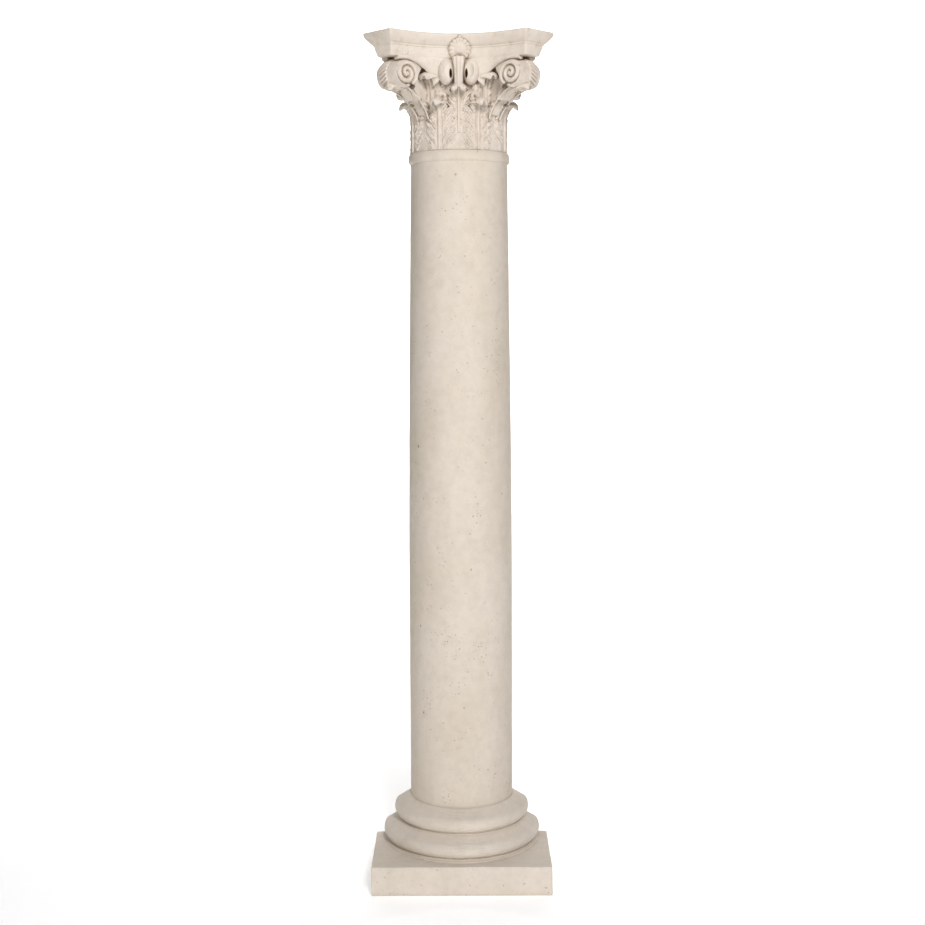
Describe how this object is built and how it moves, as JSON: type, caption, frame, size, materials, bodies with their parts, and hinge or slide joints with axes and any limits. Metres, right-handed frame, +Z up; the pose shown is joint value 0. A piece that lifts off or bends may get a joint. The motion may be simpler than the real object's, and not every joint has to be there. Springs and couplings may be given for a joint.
{
  "type": "corinthian half column",
  "caption": "Half-round Corinthian column with a moulded base on a plinth, a plain swelling shaft and an acanthus capital with volutes.",
  "frame": {"origin": "middle of the footprint on the ground, under the plinth", "axes": "+Z up the column, -Y out of the rounded front, +Y into the flat back"},
  "size_m": [0.51, 0.277, 2.35],
  "materials": {
    "base_stone": "matt, fine cast grain with small air holes",
    "shaft_stone": "matt, fine cast grain with small air holes",
    "capital_stone": "matt, fine cast grain, darker in the hollows"
  },
  "bodies": {
    "root": {"base": "base_stone", "shaft": "shaft_stone", "capital": "capital_stone"}
  },
  "joints": []
}
